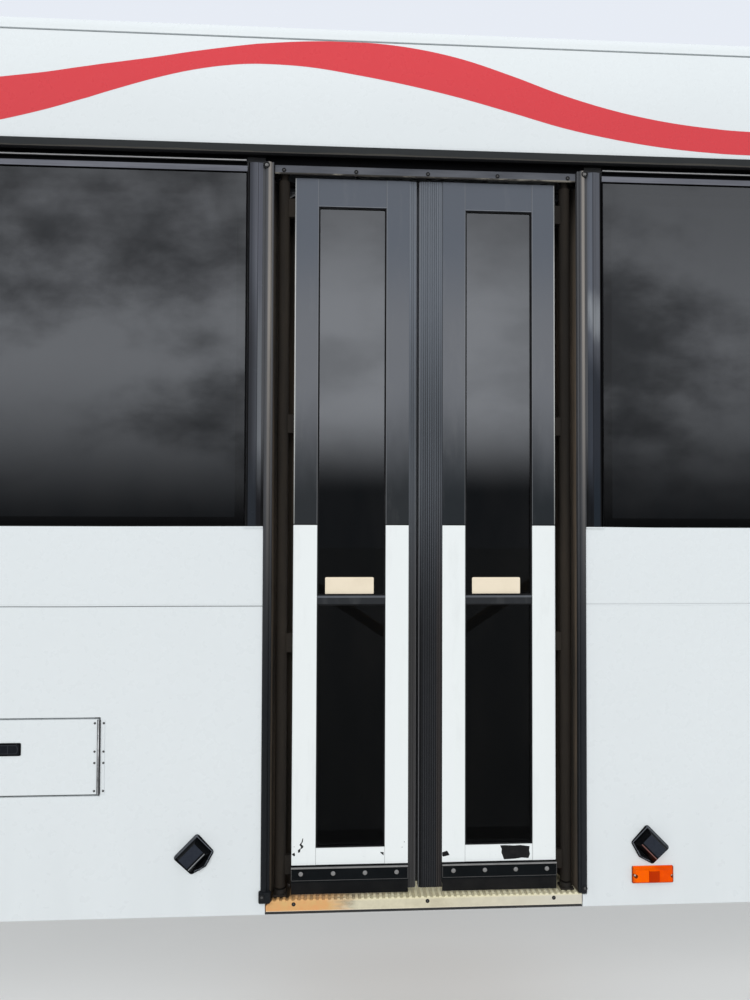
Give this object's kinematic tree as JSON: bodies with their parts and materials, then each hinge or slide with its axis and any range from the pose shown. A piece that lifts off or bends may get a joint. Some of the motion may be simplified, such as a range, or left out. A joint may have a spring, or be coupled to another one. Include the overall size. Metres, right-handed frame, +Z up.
{
  "type": "bus bodyside section with a two-leaf exit door",
  "caption": "Bodyside section of a city bus: outward swinging two-leaf exit door, side windows, skirt with access flap, cove panel and inner door drive.",
  "frame": {"origin": "middle of the two bolt holes in the centre outrigger plate, on its inboard face, in line with the middle of the doorway", "axes": "+X along the side of the bus to the right seen from outside, +Y into the bus, +Z up"},
  "size_m": [3.76, 0.444, 2.441],
  "materials": {
    "white_paint": "gloss white coach paint with a red stripe on the cove panel",
    "door_paint": "charcoal coach paint above the waist and white below",
    "dark_steel": "black chassis paint",
    "shaft_paint": "black paint",
    "dark_trim": "dark grey satin",
    "gloss_black": "gloss black",
    "bright_trim": "dull bright strip",
    "bare_steel": "bare steel",
    "cast_housing": "cast",
    "black_plastic": "moulded",
    "amber_lens": "clear amber lens",
    "rubber": "worn black extrusion",
    "tinted_glass": "dark tint",
    "nosing": "worn cream and yellow paint on aluminium",
    "floor_board": "sealed plywood",
    "floor_covering": "ribbed grey covering",
    "lining": "light grey textured lining",
    "yellow_tube": "yellow powder coat"
  },
  "bodies": {
    "bodyside": {"cant_rails": "dark_steel", "cove_panel": "white_paint", "cover_hinge": "bare_steel", "door_header": "dark_steel", "door_operator": "cast_housing", "door_posts": "dark_steel", "drip_rail": "dark_trim", "end_posts": "dark_steel", "flap_hinge_fixed": "bare_steel", "floor_board": "floor_board", "floor_covering": "floor_covering", "header_strip": "dark_trim", "high_linings": "lining", "jamb_beads": "rubber", "jamb_reveals": "rubber", "left_skirt_panel": "white_paint", "low_linings": "lining", "operator_housing": "lining", "pillar_trims": "gloss_black", "pivot_bearings": "bare_steel", "right_skirt_panel": "white_paint", "roof_edge": "white_paint", "roof_rail": "dark_steel", "side_marker_lamp": "amber_lens", "sill_beam": "dark_steel", "skirt_rails": "dark_steel", "step_lamps": "black_plastic", "threshold": "nosing", "waist_panels": "white_paint", "waist_rails": "dark_steel", "window_frames": "gloss_black", "window_surrounds": "lining", "window_trims": "bright_trim", "windows": "tinted_glass"},
    "left_leaf": {"left_leaf_uprights": "door_paint", "left_leaf_rails": "door_paint", "left_leaf_glass": "tinted_glass", "left_leaf_glazing": "rubber", "left_leaf_nose_rubber": "rubber", "left_leaf_sweep": "rubber", "left_sweep_strip": "dark_trim", "left_grab_rail": "yellow_tube", "left_door_shaft": "shaft_paint"},
    "left_crank": {"left_drive_crank": "bare_steel"},
    "left_rod": {"left_drive_rod": "bare_steel"},
    "right_leaf": {"right_leaf_uprights": "door_paint", "right_leaf_rails": "door_paint", "right_leaf_glass": "tinted_glass", "right_leaf_glazing": "rubber", "right_leaf_nose_rubber": "rubber", "right_leaf_sweep": "rubber", "right_sweep_strip": "dark_trim", "right_grab_rail": "yellow_tube", "right_door_shaft": "shaft_paint"},
    "right_crank": {"right_drive_crank": "bare_steel"},
    "right_rod": {"right_drive_rod": "bare_steel"},
    "flap": {"access_flap": "white_paint", "flap_hinge_moving": "bare_steel", "flap_latch": "black_plastic"},
    "cover": {"operator_cover": "lining"}
  },
  "joints": [
    {"name": "left_leaf_swing", "type": "hinge", "parent": "bodyside", "child": "left_leaf", "pos_m": [-0.3884, -0.088, 1], "axis": [0, 0, -1], "range_deg": [0, 88]},
    {"name": "right_leaf_swing", "type": "hinge", "parent": "bodyside", "child": "right_leaf", "pos_m": [0.3884, -0.088, 1], "axis": [0, 0, 1], "range_deg": [0, 88]},
    {"name": "left_crank_turn", "type": "hinge", "parent": "bodyside", "child": "left_crank", "pos_m": [-0.115, 0.006, 2], "axis": [0, 0, -1], "range_deg": [0, 88]},
    {"name": "right_crank_turn", "type": "hinge", "parent": "bodyside", "child": "right_crank", "pos_m": [0.115, 0.006, 2], "axis": [0, 0, 1], "range_deg": [0, 88]},
    {"name": "left_rod_pivot", "type": "hinge", "parent": "left_leaf", "child": "left_rod", "pos_m": [-0.42375, -0.05264, 1.991], "axis": [0, 0, 1], "range_deg": [0, 88]},
    {"name": "right_rod_pivot", "type": "hinge", "parent": "right_leaf", "child": "right_rod", "pos_m": [0.42375, -0.05264, 1.991], "axis": [0, 0, -1], "range_deg": [0, 88]},
    {"name": "access_flap_hinge", "type": "hinge", "parent": "bodyside", "child": "flap", "pos_m": [-0.8585, -0.122, 0.43], "axis": [0, 0, 1], "range_deg": [0, 110]},
    {"name": "operator_cover_hinge", "type": "hinge", "parent": "bodyside", "child": "cover", "pos_m": [0, 0.1885, 2.1995], "axis": [1, 0, 0], "range_deg": [0, 80]}
  ],
  "couplings": [
    {"joint": "right_leaf_swing", "follows": "left_leaf_swing", "ratio": 1},
    {"joint": "left_crank_turn", "follows": "left_leaf_swing", "ratio": 1},
    {"joint": "right_crank_turn", "follows": "left_leaf_swing", "ratio": 1},
    {"joint": "left_rod_pivot", "follows": "left_leaf_swing", "ratio": 1},
    {"joint": "right_rod_pivot", "follows": "left_leaf_swing", "ratio": 1}
  ]
}
